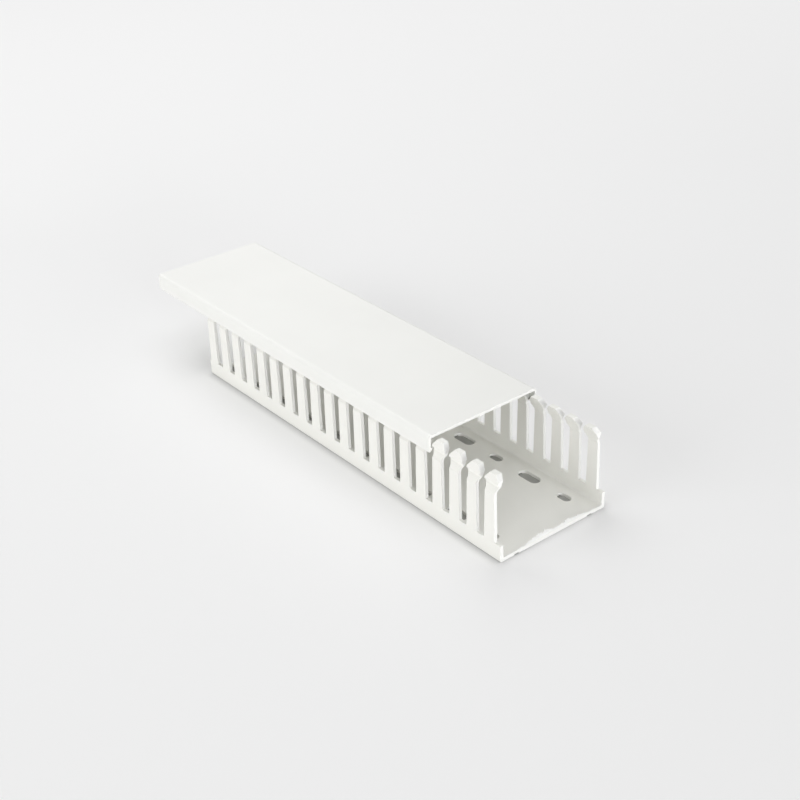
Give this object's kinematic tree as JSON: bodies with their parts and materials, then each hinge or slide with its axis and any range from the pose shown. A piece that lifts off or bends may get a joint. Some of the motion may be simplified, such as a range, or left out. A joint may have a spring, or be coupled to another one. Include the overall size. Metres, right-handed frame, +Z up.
{
  "type": "slotted wire duct",
  "caption": "Rigid plastic wiring duct: a U-channel with headed fingers along both walls and obround fixing holes, with a clip-on cover slid part-way along it.",
  "frame": {"origin": "middle of the duct base's underside, half-way along its length", "axes": "+X along the duct towards its open end, +Y across it, +Z up from the fixing face to the cover"},
  "size_m": [0.3, 0.071, 0.047],
  "materials": {
    "duct_pvc": "satin off-white rigid PVC, extruded, with rougher punched edges",
    "cover_pvc": "satin off-white rigid PVC, extruded"
  },
  "bodies": {
    "duct": {"slotted_base": "duct_pvc"},
    "cover": {"cover": "cover_pvc"}
  },
  "joints": [
    {"name": "cover_slide", "type": "slide", "parent": "duct", "child": "cover", "axis": [1, 0, 0], "range_m": [-0.15, 0.25]}
  ]
}
